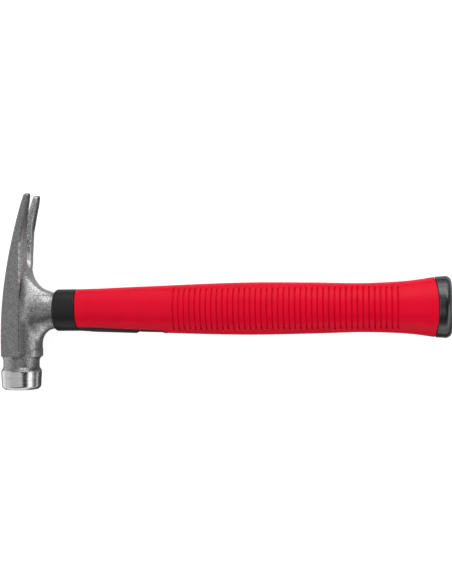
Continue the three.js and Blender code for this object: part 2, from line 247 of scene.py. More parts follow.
def bezier(p0, p1, p2, p3, count=60):
    t = np.linspace(0, 1, count)[:, None]
    ends = (1 - t) ** 3 * np.array(p0) + t ** 3 * np.array(p3)
    return ends + 3 * (1 - t) ** 2 * t * np.array(p1) + 3 * (1 - t) * t ** 2 * np.array(p2)


def smooth_curve(places, values):
    """A function through the given values, smooth at each place."""
    slopes = np.gradient(values, places)

    def curve(x):
        i = np.clip(np.searchsorted(places, x) - 1, 0, len(places) - 2)
        gap = places[i + 1] - places[i]
        t = np.clip((x - places[i]) / gap, 0, 1)
        rest = 1 - t
        return (
            values[i] * rest ** 2 * (1 + 2 * t)
            + values[i + 1] * t ** 2 * (1 + 2 * rest)
            + slopes[i] * gap * t * rest ** 2
            - slopes[i + 1] * gap * rest * t ** 2
        )

    return curve


grip_places = GRIP_FRONT + STATIONS[:, 0] * (RIM_PLACE - GRIP_FRONT)
station_places = np.concatenate(([COLLAR_FRONT], grip_places))
handle_height = smooth_curve(station_places, COLLAR[0] + np.concatenate(([0], STATIONS[:, 1])))
handle_width = smooth_curve(station_places, COLLAR[1] + np.concatenate(([0], STATIONS[:, 2])))


# Mesh helpers

def make_piece(name, points, faces, sharp=math.radians(40)):
    """A new object from points in millimetres, smooth but for edges sharper than the given angle."""
    mesh = bpy.data.meshes.new(name)
    mesh.from_pydata((np.asarray(points) * MM + ORIGIN).tolist(), [], faces)
    work = bmesh.new()
    work.from_mesh(mesh)
    bmesh.ops.recalc_face_normals(work, faces=work.faces)
    work.to_mesh(mesh)
    work.free()
    mesh.shade_smooth()
    mesh.set_sharp_from_angle(angle=sharp)
    obj = bpy.data.objects.new(name, mesh)
    bpy.context.scene.collection.objects.link(obj)
    return obj


def oval_ring(x, half_height, half_width):
    """Points round an oval section of the handle at a place along it."""
    angle = np.linspace(0, 2 * math.pi, ROUND, endpoint=False)
    return np.stack([
        np.full(ROUND, x),
        half_height * np.sin(angle),
        half_width * np.cos(angle),
    ], axis=1)


def handle_ring(x, inset):
    return oval_ring(x, float(handle_height(x)) - inset, float(handle_width(x)) - inset)


def ring_faces(ring_count, wrap):
    """Quads between neighbouring rings; with wrap the last ring joins the first."""
    faces = []
    for i in range(ring_count if wrap else ring_count - 1):
        a = i * ROUND
        b = ((i + 1) % ring_count) * ROUND
        for j in range(ROUND):
            k = (j + 1) % ROUND
            faces.append((a + j, a + k, b + k, b + j))
    return faces


def shell_piece(name, rings):
    """A closed shell: the rings run along the outside and back along the bore."""
    return make_piece(name, np.concatenate(rings), ring_faces(len(rings), True))


def solid_piece(name, rings):
    """A closed bar: a fan of triangles closes each end."""
    faces = ring_faces(len(rings), False)
    points = np.concatenate(rings)
    last = (len(rings) - 1) * ROUND
    front, rear = len(points), len(points) + 1
    for j in range(ROUND):
        k = (j + 1) % ROUND
        faces.append((front, k, j))
        faces.append((rear, last + j, last + k))
    ends = [rings[0].mean(axis=0), rings[-1].mean(axis=0)]
    return make_piece(name, np.concatenate([points, ends]), faces)


def cut(piece, other, operation):
    """Applies a boolean to a piece and deletes the other object."""
    modifier = piece.modifiers.new("cut", "BOOLEAN")
    modifier.operation = operation
    modifier.solver = "EXACT"
    modifier.object = other
    apply_modifiers(piece)
    bpy.data.objects.remove(other)


def apply_modifiers(piece, sharp=math.radians(40)):
    graph = bpy.context.evaluated_depsgraph_get()
    mesh = bpy.data.meshes.new_from_object(piece.evaluated_get(graph))
    piece.modifiers.clear()
    piece.data = mesh
    mesh.shade_smooth()
    mesh.set_sharp_from_angle(angle=sharp)


def piece_points(piece):
    points = np.zeros(len(piece.data.vertices) * 3)
    piece.data.vertices.foreach_get("co", points)
    return (points.reshape(-1, 3) - ORIGIN) / MM


def store(piece, name, values):
    attribute = piece.data.attributes.new(name, "FLOAT", "POINT")
    attribute.data.foreach_set("value", values.astype(np.float32))


def lip(x, towards, radius, steps=5):
    """Places and insets round a small rounded edge, from the end face out to the surface."""
    turns = np.linspace(0, math.pi / 2, steps)
    return [(x + towards * radius * (1 - math.cos(t)), radius * (1 - math.sin(t))) for t in turns]


# Hammer head, meshed from a field of distances to its surface

def oval_distance(u, v, oval, power=2.0):
    """Distance to an oval, whose sides are flatter with a higher power."""
    a = np.abs(u / oval[0])
    b = np.abs(v / oval[1])
    scaled = np.maximum((a ** power + b ** power) ** (1 / power), 1e-6)
    slope = np.hypot(a ** (power - 1) / oval[0], b ** (power - 1) / oval[1])
    return (scaled - 1) * scaled ** (power - 1) / np.maximum(slope, 1e-6)


def edge_lines():
    """The body's front and rear edges seen from the side, as points in rising order of Y."""
    tip_back = CLAW_REACH + CLAW_TIP_THICKNESS
    sweep = (CLAW_HEIGHT + CLAW_BEND_START) / 3
    hollow = (CLAW_HEIGHT - CLAW_ROOT_HEIGHT) / 3
    front = bezier(
        (-BODY_FRONT, -CLAW_BEND_START),
        (-BODY_FRONT, sweep - CLAW_BEND_START),
        (CLAW_REACH - CLAW_FRONT_LEAN * sweep, CLAW_HEIGHT - sweep),
        (CLAW_REACH, CLAW_HEIGHT),
    )
    rear = bezier(
        (CLAW_ROOT_BACK, CLAW_ROOT_HEIGHT),
        (CLAW_ROOT_BACK, CLAW_ROOT_HEIGHT + hollow),
        (tip_back - CLAW_REAR_LEAN * hollow, CLAW_HEIGHT - hollow),
        (tip_back, CLAW_HEIGHT),
    )
    return front, np.concatenate([[(FLANK_REAR, 0)], rear])


def edge_distance(line, x, y):
    """Signed distance past an edge line, positive towards +X."""
    places = np.interp(y, line[:, 1], line[:, 0])
    slopes = np.interp(y, line[:, 1], np.gradient(line[:, 0], line[:, 1]))
    return (x - places) / np.sqrt(1 + slopes ** 2)


def claw_back(x, y):
    """Distance past the crowned back of the claw, and the height of the bevel beside it."""
    share = window(14, 40, 46, 64, y)
    behind = edge_distance(edge_lines()[1], x, y) - CLAW_CROWN * share
    return behind, BEVEL_EDGE + CLAW_BEVEL * share


def body_field(x, y, z):
    front, _ = edge_lines()
    out_z = np.abs(z) - (HEAD_HALF_WIDTH - CLAW_TIP_ROUND)
    out_y = y - (CLAW_HEIGHT - CLAW_TIP_ROUND)
    corner = np.sqrt(np.maximum(out_z, 0) ** 2 + np.maximum(out_y, 0) ** 2)
    outline = corner + np.minimum(np.maximum(out_z, out_y), 0) - CLAW_TIP_ROUND
    tip = smoothstep(CLAW_HEIGHT - 9, CLAW_HEIGHT, y)
    body = smooth_max(-edge_distance(front, x, y), outline, FRONT_ROUND + FRONT_TIP_ROUND * tip)
    behind, bevel = claw_back(x, y)
    slant = CLAW_BEVEL_WIDTH * (behind + bevel) + bevel * (np.abs(z) - HEAD_HALF_WIDTH)
    body = smooth_max(body, slant / np.hypot(bevel, CLAW_BEVEL_WIDTH), BEVEL_EDGE)
    body = smooth_max(body, behind, BACK_ROUND + BACK_TIP_ROUND * tip)
    return smooth_max(body, -BODY_DROP - y, BODY_END_ROUND)


def post_field(x, y, z):
    post = np.sqrt((x - POST_OFFSET) ** 2 + z ** 2) - POST_RADIUS
    post = smooth_max(post, -BODY_DROP - y, BODY_END_ROUND)
    top = np.where(y > 0, oval_distance(y, z, (NECK[0], POST_RADIUS)), -POST_RADIUS)
    return smooth_max(post, top, POST_TOP_ROUND)


def bell_field(x, y, z):
    radius = np.sqrt(x ** 2 + z ** 2)
    top = BELL_LENGTH - FACE_DROP
    end_radius = BELL_RADIUS - BELL_TAPER
    along = np.clip((y + FACE_DROP) / BELL_LENGTH, 0, 1)
    bell = radius - (end_radius + BELL_TAPER * along)
    chamfer = (radius - y - (end_radius + FACE_DROP - FACE_CHAMFER)) / math.sqrt(2)
    bell = smooth_max(bell, chamfer, FACE_ROUND)
    bell = smooth_max(bell, -FACE_DROP - y, FACE_ROUND)
    bell = smooth_max(bell, y - top, SHOULDER_ROUND)
    waist = oval_distance(x, z, (WAIST_RADIUS, WAIST_RADIUS - WAIST_FLATTEN))
    waist = np.maximum(waist, np.maximum(y + BODY_DROP - 2, top - 4 - y))
    return smooth_min(bell, waist, WAIST_FILLET)


def slot_root(x):
    return SLOT_ROOT_PLACE + SLOT_ROOT_SLOPE * (CLAW_ROOT_BACK - x)


def slot_field(x, y, z):
    root = slot_root(x)
    climb = np.clip((y - root) / (CLAW_HEIGHT - root), 0, 1.2)
    half = SLOT_ROOT_RADIUS + (SLOT_MOUTH / 2 - SLOT_ROOT_RADIUS) * climb
    half = half * (1 + SLOT_DRAFT * (x - CLAW_ROOT_BACK))
    below = np.minimum(y - root, 0)
    return np.sqrt(z ** 2 + below ** 2) - half


def head_field(x, y, z):
    flatter = 2.0 + NECK_FLATNESS * (1 - smoothstep(17, 26, x))
    neck = np.maximum(oval_distance(y, z, NECK, flatter), np.maximum(x - NECK_END, -x))
    inner_lower = 1 - smoothstep(*LOWER_FADE, np.abs(z))
    inner_upper = 1 - smoothstep(*UPPER_FADE, np.abs(z))
    behind = smoothstep(0, 5, x)
    lower = NECK_LOWER_EDGE + LOWER_BLEND * inner_lower * behind * smoothstep(2, 8, -y)
    upper = NECK_UPPER_EDGE + UPPER_BLEND * inner_upper * behind * smoothstep(-2, 14, y)
    stem = smooth_min(post_field(x, y, z), neck, lower)
    forging = smooth_min(body_field(x, y, z) * UPPER_SKEW, stem, upper)
    ledge = LEDGE_FILLET + LEDGE_SIDE_FILLET * smoothstep(9.5, 13, np.abs(x))
    forging = smooth_min(forging, bell_field(x, y, z), ledge)
    slot_edge = SLOT_ROUND + SLOT_TIP_ROUND * smoothstep(48, 76, y)
    forging = smooth_max(forging, -slot_field(x, y, z), slot_edge)
    bore = oval_distance(y, z, EYE)
    ripple = np.sin(0.55 * x + 1.3) * np.sin(0.47 * y) * np.sin(0.61 * z + 0.5)
    rough = smoothstep(-BODY_DROP - 9, -BODY_DROP - 5, y) * (1 - smoothstep(11.5, 12.6, np.abs(z)))
    return smooth_max(forging + FORGING_RIPPLE * ripple * rough, -bore, EYE_ROUND)


def build_head():
    low = np.array([-BELL_RADIUS - 2, -FACE_DROP - 2, -BELL_RADIUS - 2])
    high = np.array([NECK_END + 2, CLAW_HEIGHT + 2, BELL_RADIUS + 2])
    counts = np.ceil((high - low) / VOXEL).astype(int)
    axes = [low[i] + VOXEL * np.arange(counts[i]) for i in range(3)]
    x, y, z = np.meshgrid(*axes, indexing="ij", sparse=True)
    field = np.broadcast_to(head_field(x, y, z), counts).astype(np.float32)
    grid = openvdb.FloatGrid()
    grid.copyFromArray(np.ascontiguousarray(field))
    points, quads = grid.convertToQuads()
    points = settle(points.astype(float) * VOXEL + low)
    return make_piece("hammer_head_forging", points, quads.tolist(), math.pi)


def settle(points):
    """Moves points near the surface of the head onto it."""
    reach = VOXEL / 4
    for _ in range(2):
        slope = np.stack([
            head_field(*(points + reach * axis).T) - head_field(*(points - reach * axis).T)
            for axis in np.eye(3)
        ], axis=1) / (2 * reach)
        step = head_field(*points.T) / np.maximum(np.sum(slope ** 2, axis=1), 0.25)
        points = points - np.clip(step[:, None] * slope, -reach, reach)
    return points


def bell_mark(x, y, z):
    """The ground bell, whose upper limit waves."""
    turn = np.arctan2(z, x)
    wave = 0.35 * np.sin(3 * turn + 1) + 0.25 * np.sin(7 * turn) + 0.12 * np.sin(17 * turn + 2)
    return 1 - smoothstep(-0.25, 0.25, y - (BELL_LENGTH - FACE_DROP - 0.8 + wave))


def flank_mark(x, y, z):
    """The flat sides and the front, which are more evenly grey than the rest."""
    side = smoothstep(HEAD_HALF_WIDTH - 0.6, HEAD_HALF_WIDTH - 0.3, np.abs(z))
    ahead = smoothstep(-0.7, -0.4, -edge_distance(edge_lines()[0], x, y))
    ahead = ahead * smoothstep(-BODY_DROP, 0.5 - BODY_DROP, y)
    return np.maximum(side, ahead)


def slot_marks(x, y, z):
    """All of the slot's wall, its bright root, and its coarse stretch above the root."""
    above_root = y - slot_root(x)
    near = 1 - smoothstep(0.15, 0.5, np.abs(slot_field(x, y, z)))
    root = near * (1 - smoothstep(4.5, 6.5, above_root))
    wall = near * smoothstep(5.0, 8.0, above_root) * (1 - smoothstep(58, 76, y))
    return near, root, wall


def painted_glint_mark(x, y, z):
    """A painted glint: the broken bright line along the claw's bevel."""
    behind, bevel = claw_back(x, y)
    line = (1 - smoothstep(0.3, 0.65, np.abs(behind + bevel))) * smoothstep(12.0, 12.5, np.abs(z))
    dashes = np.clip(0.6 + 0.8 * np.sin(2.9 * y) * np.sin(1.7 * y + 1), 0, 1)
    return line * window(10, 22, 46, 54, y) * dashes


def painted_shade_mark(x, y, z, near_slot):
    """Painted shade behind the flanks, round the neck, on the waist and on the back of the claw."""
    valley = window(2.5, 4.5, 6.0, 9.5, x) * window(2, 12, BODY_DROP, BODY_DROP + 3, -y)
    valley = valley * smoothstep(5, 9, np.abs(z))
    wedge = window(2.6, 3.6, 5.5, 8.5, x) * window(-8, 8, 16, 32, y) * smoothstep(6, 10, np.abs(z))
    band = 0.6 * smoothstep(-9, 0, -y) + 0.2 * smoothstep(1, 5, -y)
    band = band * smoothstep(7, 12, x) * (1 - smoothstep(8, 12, -y)) * smoothstep(5, 9, np.abs(z))
    waist = 0.45 * smoothstep(BODY_DROP, BODY_DROP + 1, -y)
    behind, _ = claw_back(x, y)
    back = smoothstep(-2.8, -1.2, behind) * (1 - near_slot)
    back = back * (0.4 * smoothstep(20, 30, y) + 0.3 * smoothstep(42, 56, y))
    return np.max([0.85 * valley, 0.9 * wedge, band, waist, back], axis=0)


def mark_head(piece):
    """Stores where the steel is ground, flat, sawn or bare, where a glint is painted and where shade is
    painted, for its material.
    """
    x, y, z = piece_points(piece).T
    bell = bell_mark(x, y, z)
    near_slot, root, wall = slot_marks(x, y, z)
    painted_glint = painted_glint_mark(x, y, z)
    # painted shade: the steel's colour is darkened where shade falls, except along the painted glint
    store(piece, "scale", painted_shade_mark(x, y, z, near_slot) * (1 - painted_glint))
    store(piece, "ground", bell)
    # the pale colour covers the bare root of the slot and the painted glint along the bevel
    store(piece, "bare_and_glint", np.maximum(root, painted_glint))
    store(piece, "painted_glint", painted_glint)
    store(piece, "flank", flank_mark(x, y, z) * (1 - bell))
    store(piece, "wall", wall)


# Resin that closes the front of the eye

def build_resin():
    dish = [0.2, 0.45, 0.7, 0.9]
    rings = [oval_ring(PLUG_FRONT + 0.5 * (1 - s * s), RESIN[0] * s, RESIN[1] * s) for s in dish]
    rings.append(oval_ring(PLUG_FRONT, RESIN[0] - 0.1, RESIN[1] - 0.1))
    rings.append(oval_ring(PLUG_FRONT + 0.3, *RESIN))
    rings.append(oval_ring(NECK_END, *RESIN))
    rings.append(oval_ring(NECK_END, ROD[0] + FIT, ROD[1] + FIT))
    rings.append(oval_ring(PLUG_FRONT + 3, ROD[0] + FIT, ROD[1] + FIT))
    return solid_piece("eye_resin_plug", rings)


# Underside strip: a closed strip of the handle with the slot's plan

def slot_half_width(x):
    along = (x - GRIP_FRONT) / SPINE_LENGTH
    return (SPINE_FRONT_WIDTH + (SPINE_END_WIDTH - SPINE_FRONT_WIDTH) * along) / 2


def flat_inset(drop):
    """An inset that is the same all over a strip."""
    return lambda x, left: np.full_like(x, drop)


def strip_piece(name, start, end, margin, inset, depth, along=60, across=24):
    """A strip under the handle whose rear end bows to the butt.

    The inset, from the place and what is left to the rear end, and the depth count from the surface.
    """
    u = np.linspace(0, 1, along)[:, None]
    v = np.linspace(-1, 1, across)[None, :]
    length = end - SPINE_BOW * v ** 2 - start
    x = start + u * length
    z = v * (slot_half_width(x) + margin)
    layers = []
    for drop in (inset(x, (1 - u) * length), depth):
        height = handle_height(x) - drop
        width = handle_width(x) - drop
        level = height * np.sqrt(np.maximum(1 - (z / width) ** 2, 0))
        layers.append(np.stack([x, -level, z], axis=-1).reshape(-1, 3))
    size = along * across
    faces = []
    for i in range(along - 1):
        for j in range(across - 1):
            a = i * across + j
            faces.append((a, a + 1, a + across + 1, a + across))
            faces.append((size + a, size + a + across, size + a + across + 1, size + a + 1))
    border = list(range(across))
    border += [i * across + across - 1 for i in range(1, along)]
    border += [(along - 1) * across + j for j in range(across - 2, -1, -1)]
    border += [i * across for i in range(along - 2, 0, -1)]
    for a, b in zip(border, border[1:] + border[:1]):
        faces.append((a, b, size + b, size + a))
    return make_piece(name, np.concatenate(layers), faces)


# Grip sleeve with real grooves

def bowed_front(ring):
    """Bows the top of the joint between the collar and the sleeve to the head."""
    x, y = ring[:, 0], ring[:, 1]
    share = window(COLLAR_FRONT + 6, GRIP_FRONT - 1, GRIP_FRONT + 2, GRIP_FRONT + 20, x)
    out = ring.copy()
    out[:, 0] -= GRIP_FRONT_BOW * share * np.clip(y / COLLAR[0], 0, 1) ** 2
    return out


def bowed_rear(ring):
    """Bows the rear of the sleeve or the front of the cap to the curved joint between them."""
    x, y = ring[:, 0], ring[:, 1]
    share = window(GRIP_END - 26, GRIP_END - 2, GRIP_END + 1, RIM_PLACE, x)
    out = ring.copy()
    out[:, 0] -= share * (GRIP_END_RADIUS - np.sqrt(GRIP_END_RADIUS ** 2 - y ** 2))
    return out


def grooved_ring(x, middles):
    """The handle's ring at a place, pressed in where a groove crosses its sides."""
    ring = handle_ring(x, 0)
    across = np.min(np.abs(x - middles)) / GROOVE_HALF_WIDTH
    if across < 1:
        reach = np.abs(ring[:, 1])
        side = 1 - smoothstep(GROOVE_HALF_SPAN - 0.5, GROOVE_HALF_SPAN + 0.3, reach)
        ends = 1 + 0.7 * smoothstep(GROOVE_HALF_SPAN - 2.0, GROOVE_HALF_SPAN - 1.0, reach)
        depth = GROOVE_DEPTH * math.cos(across * math.pi / 2) ** 1.3 * side * ends
        radius = np.hypot(ring[:, 1], ring[:, 2])
        ring[:, 1:] *= (1 - depth / radius)[:, None]
    return ring


def build_grip():
    front = GRIP_FRONT + FIT
    middles = GROOVE_FIRST + GROOVE_PITCH * np.arange(GROOVE_COUNT)
    marks = np.array([-1.0, -0.72, -0.45, -0.2, 0.0, 0.2, 0.45, 0.72, 1.0]) * GROOVE_HALF_WIDTH
    places = list(np.linspace(front + 1.5, middles[0] - 2, 36))
    for middle in middles:
        places += list(middle + marks)
        places.append(middle + GROOVE_PITCH / 2)
    places += list(np.linspace(middles[-1] + 3, GRIP_END - 1.2, 26))
    rings = [handle_ring(front, SLEEVE_WALL)]
    rings += [handle_ring(x, inset) for x, inset in lip(front, 1, 0.9)]
    rings += [grooved_ring(x, middles) for x in places]
    rings += [handle_ring(x, inset) for x, inset in reversed(lip(GRIP_END, -1, 0.5))]
    rings.append(handle_ring(GRIP_END, SLEEVE_WALL))
    rings += [handle_ring(x, SLEEVE_WALL) for x in np.linspace(GRIP_END - 4, front + 8, 24)]
    piece = shell_piece("grip_sleeve_soft", [bowed_front(bowed_rear(ring)) for ring in rings])
    slot = strip_piece("slot_cutter", front - 3, GRIP_FRONT + SPINE_LENGTH, 0, flat_inset(-4), 9)
    cut(piece, slot, "DIFFERENCE")
    paint_groove_shade(piece, middles)
    return piece


def paint_groove_shade(piece, middles):
    """Stores painted shade for the grooves: how deep in a groove each point of the sleeve lies, more
    towards the groove ends.
    """
    x, y, _ = piece_points(piece).T
    across = np.min(np.abs(x[:, None] - middles[None, :]), axis=1) / GROOVE_HALF_WIDTH
    reach = np.abs(y)
    side = 1 - smoothstep(GROOVE_HALF_SPAN - 0.4, GROOVE_HALF_SPAN + 0.2, reach)
    ends = smoothstep(GROOVE_HALF_SPAN - 2.0, GROOVE_HALF_SPAN - 1.0, reach)
    deep = (1 - smoothstep(0.15, 0.95, across)) * side * (0.4 + 0.6 * ends)
    store(piece, "groove", deep)


# Hard jacket with the collar, and the spine that shows in the sleeve's slot

def build_jacket():
    tube = SLEEVE_WALL + FIT
    collar = [
        (COLLAR_FRONT, 1.0), (COLLAR_FRONT + 0.1, 0.78), (COLLAR_FRONT + 0.3, 0.6),
        (COLLAR_FRONT + 1.1, 0.14), (COLLAR_FRONT + 1.35, 0.05), (COLLAR_FRONT + 1.7, 0.0),
    ]
    rings = [oval_ring(x, COLLAR[0] - inset, COLLAR[1] - inset) for x, inset in collar]
    rings += [oval_ring(x, *COLLAR) for x in np.linspace(COLLAR_FRONT + 5, GRIP_FRONT - 1, 6)]
    rings += [oval_ring(x, COLLAR[0] - i, COLLAR[1] - i) for x, i in reversed(lip(GRIP_FRONT, -1, 0.4))]
    rings.append(oval_ring(GRIP_FRONT, COLLAR[0] - tube, COLLAR[1] - tube))
    rings += [handle_ring(x, tube) for x in np.linspace(GRIP_FRONT + 4, JACKET_END, 40)]
    rings.append(oval_ring(JACKET_END, ROD[0] + FIT, ROD[1] + FIT))
    rings.append(oval_ring(NECK_END + FIT, ROD[0] + FIT, ROD[1] + FIT))
    rings.append(oval_ring(NECK_END + FIT, NECK[0] + FIT, NECK[1] + FIT))
    rings.append(oval_ring(COLLAR_FRONT, NECK[0] + FIT, NECK[1] + FIT))
    piece = shell_piece("handle_jacket_moulded", [bowed_front(ring) for ring in rings])
    guard_end = GRIP_FRONT + GUARD_LENGTH + FIT
    spine_end = GRIP_FRONT + SPINE_LENGTH - FIT

    def inset(x, left):
        return SPINE_DROP - (SPINE_DROP + 0.3) * (1 - smoothstep(0.8, 2.0, left))

    spine = strip_piece("spine", COLLAR_FRONT + 8, spine_end, -FIT, inset, tube + 0.8)
    cut(piece, spine, "UNION")
    pocket = strip_piece("pocket", GRIP_FRONT, guard_end, 1, flat_inset(-3), GUARD_THICKNESS + FIT)
    cut(piece, pocket, "DIFFERENCE")
    return piece


def build_guard():
    end = GRIP_FRONT + GUARD_LENGTH
    front = GRIP_FRONT + FIT

    def inset(x, left):
        rise = GUARD_PROUD * smoothstep(front, front + 14, x)
        slope = np.clip(1 - left / 3.2, 0, 1)
        return (GUARD_PROUD + 1.0) * slope - rise

    piece = strip_piece("overstrike_guard_strip", front, end, -FIT, inset, GUARD_THICKNESS)
    bevel = piece.modifiers.new("edges", "BEVEL")
    bevel.width = 0.45 * MM
    bevel.segments = 3
    bevel.limit_method = "ANGLE"
    bevel.angle_limit = math.radians(50)
    apply_modifiers(piece)
    return piece


# Flared butt cap

def build_cap():
    front = GRIP_END + FIT
    rim = (float(handle_height(RIM_PLACE)), float(handle_width(RIM_PLACE)))
    rings = [oval_ring(SPIGOT_TIP, *ROD), oval_ring(JACKET_END + FIT, *ROD)]
    seat = SLEEVE_WALL + FIT
    rings.append(handle_ring(JACKET_END + FIT, seat))
    rings.append(handle_ring(front, seat))
    rings += [handle_ring(x, inset) for x, inset in lip(front, 1, 0.5)]
    rings += [handle_ring(x, 0) for x in np.linspace(front + 1, RIM_PLACE, 8)]
    for turn in np.linspace(0.12, 1, 9) * math.pi / 2:
        drop = CAP_CORNER * (1 - math.cos(turn))
        rings.append(oval_ring(RIM_PLACE + CAP_CORNER * math.sin(turn), rim[0] - drop, rim[1] - drop))
    flat = (rim[0] - CAP_CORNER, rim[1] - CAP_CORNER)
    rings += [oval_ring(BUTT_END, flat[0] * s, flat[1] * s) for s in (0.8, 0.5, 0.2)]
    return solid_piece("end_cap_moulded", [bowed_rear(ring) for ring in rings])


# Materials

class Shader:
    """A principled material with short calls for the nodes that it uses."""

    def __init__(self, name):
        self.material = bpy.data.materials.new(name)
        self.material.use_nodes = True
        self.tree = self.material.node_tree
        self.surface = self.tree.nodes["Principled BSDF"]
        self.places = self.node("ShaderNodeTexCoord").outputs["Object"]

    def node(self, kind, **settings):
        made = self.tree.nodes.new(kind)
        for key, value in settings.items():
            setattr(made, key, value)
        return made

    def link(self, output, socket):
        self.tree.links.new(output, socket)

    def fixed(self, **values):
        for key, value in values.items():
            self.surface.inputs[key.replace("_", " ")].default_value = value

    def stretched(self, scale):
        mapping = self.node("ShaderNodeMapping")
        self.link(self.places, mapping.inputs["Vector"])
        mapping.inputs["Scale"].default_value = scale
        return mapping.outputs["Vector"]

    def noise(self, grain, detail=3.0, roughness=0.55, places=None):
        """Noise whose features are about one grain across, in millimetres."""
        made = self.node("ShaderNodeTexNoise")
        made.inputs["Scale"].default_value = 1 / (grain * MM)
        made.inputs["Detail"].default_value = detail
        made.inputs["Roughness"].default_value = roughness
        self.link(places or self.places, made.inputs["Vector"])
        return made.outputs["Fac"]

    def ramp(self, factor, *stops):
        made = self.node("ShaderNodeValToRGB")
        while len(made.color_ramp.elements) < len(stops):
            made.color_ramp.elements.new(0.5)
        for element, (place, colour) in zip(made.color_ramp.elements, stops):
            element.position = place
            element.color = (*colour, 1) if isinstance(colour, tuple) else (colour, colour, colour, 1)
        self.link(factor, made.inputs["Fac"])
        return made.outputs["Color"]

    def mix(self, factor, a, b):
        made = self.node("ShaderNodeMix", data_type="RGBA")
        self.link(factor, made.inputs["Factor"])
        self.link(a, made.inputs[MIX_A])
        self.link(b, made.inputs[MIX_B])
        return made.outputs[MIX_RESULT]

    def span(self, factor, low, high, to_low, to_high):
        made = self.node("ShaderNodeMapRange")
        self.link(factor, made.inputs["Value"])
        for key, value in zip(("From Min", "From Max", "To Min", "To Max"), (low, high, to_low, to_high)):
            made.inputs[key].default_value = value
        return made.outputs["Result"]

    def math(self, operation, a, b):
        made = self.node("ShaderNodeMath", operation=operation)
        for socket, value in zip(made.inputs, (a, b)):
            if isinstance(value, (int, float)):
                socket.default_value = value
            else:
                self.link(value, socket)
        return made.outputs["Value"]

    def attribute(self, name):
        return self.node("ShaderNodeAttribute", attribute_name=name).outputs["Fac"]

    def bump(self, height, depth, strength=1.0, below=None):
        """Bump whose height runs over a depth in millimetres."""
        made = self.node("ShaderNodeBump")
        made.inputs["Distance"].default_value = depth * MM
        made.inputs["Strength"].default_value = strength
        self.link(height, made.inputs["Height"])
        if below is not None:
            self.link(below, made.inputs["Normal"])
        return made.outputs["Normal"]

    def finish(self, colour, roughness, normal):
        self.link(colour, self.surface.inputs["Base Color"])
        self.link(roughness, self.surface.inputs["Roughness"])
        self.link(normal, self.surface.inputs["Normal"])
        return self.material


def forged_steel():
    """Speckled forging with a ground bell, bare and sawn places, a painted glint along the claw's bevel
    and painted shade, by the stored marks.
    """
    s = Shader("forged_steel_blasted")
    s.fixed(Metallic=1.0)
    ground = s.attribute("ground")
    flank = s.attribute("flank")
    speck = s.noise(0.95, 3, 0.65)
    fine = s.noise(0.7, 3, 0.65)
    patch = s.noise(9, 3, 0.55)
    dark = s.ramp(speck, (0.3, 0.19), (0.5, 0.41), (0.7, 0.76))
    plain = s.ramp(speck, (0.3, 0.145), (0.7, 0.36))
    sawn = s.ramp(speck, (0.35, 0.16), (0.65, 0.72))
    pale = s.ramp(fine, (0.3, 0.75), (0.7, 0.88))
    wall = s.attribute("wall")
    forged = s.mix(wall, s.mix(flank, dark, plain), sawn)
    bare_and_glint = s.attribute("bare_and_glint")
    # Pale colour for the bare slot root and for the painted glint along the bevel
    forged = s.mix(bare_and_glint, forged, pale)
    # Painted shade: where the stored scale mark lies the speckle is painted darker, for shade behind the
    # flanks, round the neck, on the waist and behind the claw
    forged = s.mix(s.attribute("scale"), forged, s.ramp(speck, (0.3, 0.07), (0.7, 0.20)))
    brushed = s.noise(0.5, 2, 0.5, s.stretched((0.03, 1, 0.03)))
    bright = s.ramp(brushed, (0.3, 0.53), (0.7, 0.63))
    colour = s.mix(ground, forged, bright)
    worn = s.math("ADD", s.span(patch, 0.3, 0.7, 0.27, 0.34), s.span(fine, 0.3, 0.7, -0.03, 0.05))
    worn = s.math("ADD", worn, s.math("MULTIPLY", bare_and_glint, 0.16))
    worn = s.math("ADD", worn, s.math("MULTIPLY", flank, 0.02))
    worn = s.math("ADD", worn, s.math("MULTIPLY", s.attribute("painted_glint"), 0.45))
    shine = s.span(brushed, 0.3, 0.7, 0.20, 0.24)
    gap = s.math("SUBTRACT", shine, worn)
    roughness = s.math("ADD", worn, s.math("MULTIPLY", gap, ground))
    keep = s.math("SUBTRACT", 1.0, ground)
    coarse = s.math("SUBTRACT", keep, s.math("MULTIPLY", flank, 0.65))
    coarse = s.math("ADD", coarse, wall)
    first = s.bump(s.math("MULTIPLY", speck, coarse), 0.2)
    second = s.bump(s.math("MULTIPLY", fine, keep), 0.10, below=first)
    third = s.bump(s.math("MULTIPLY", brushed, ground), 0.0015, below=second)
    return s.finish(colour, roughness, third)


def moulded(name, dark, light, rough_low, rough_high, grain, depth, specular=0.5, groove=None):
    """A moulded plastic or rubber: a fine cast texture, faint cloudiness and uneven sheen."""
    s = Shader(name)
    s.fixed(Specular_IOR_Level=specular)
    fine = s.noise(grain, 3, 0.6)
    cloud = s.noise(14, 3, 0.5)
    colour = s.ramp(cloud, (0.3, dark), (0.7, light))
    # Painted shade: the stored groove mark darkens the colour in the grooves
    if groove:
        colour = s.mix(s.attribute("groove"), colour, s.ramp(fine, (0.3, groove), (0.7, groove)))
    broad = s.span(cloud, 0.3, 0.7, rough_low, rough_high)
    roughness = s.math("ADD", broad, s.span(fine, 0.3, 0.7, -0.03, 0.03))
    return s.finish(colour, roughness, s.bump(fine, depth))


def glass_fibre():
    """Pultruded rod: long fibres in a pale binder."""
    s = Shader("glass_fibre_rod")
    fibres = s.noise(0.6, 3, 0.6, s.stretched((0.02, 1, 1)))
    colour = s.ramp(fibres, (0.3, (0.62, 0.52, 0.25)), (0.7, (0.78, 0.70, 0.42)))
    return s.finish(colour, s.span(fibres, 0.3, 0.7, 0.45, 0.6), s.bump(fibres, 0.05))


# The pieces, each with its material, its body and the solid that it stands for

def dress(piece, node, material):
    piece.data.materials.clear()
    piece.data.materials.append(material)
    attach(piece, "root")
    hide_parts(node)


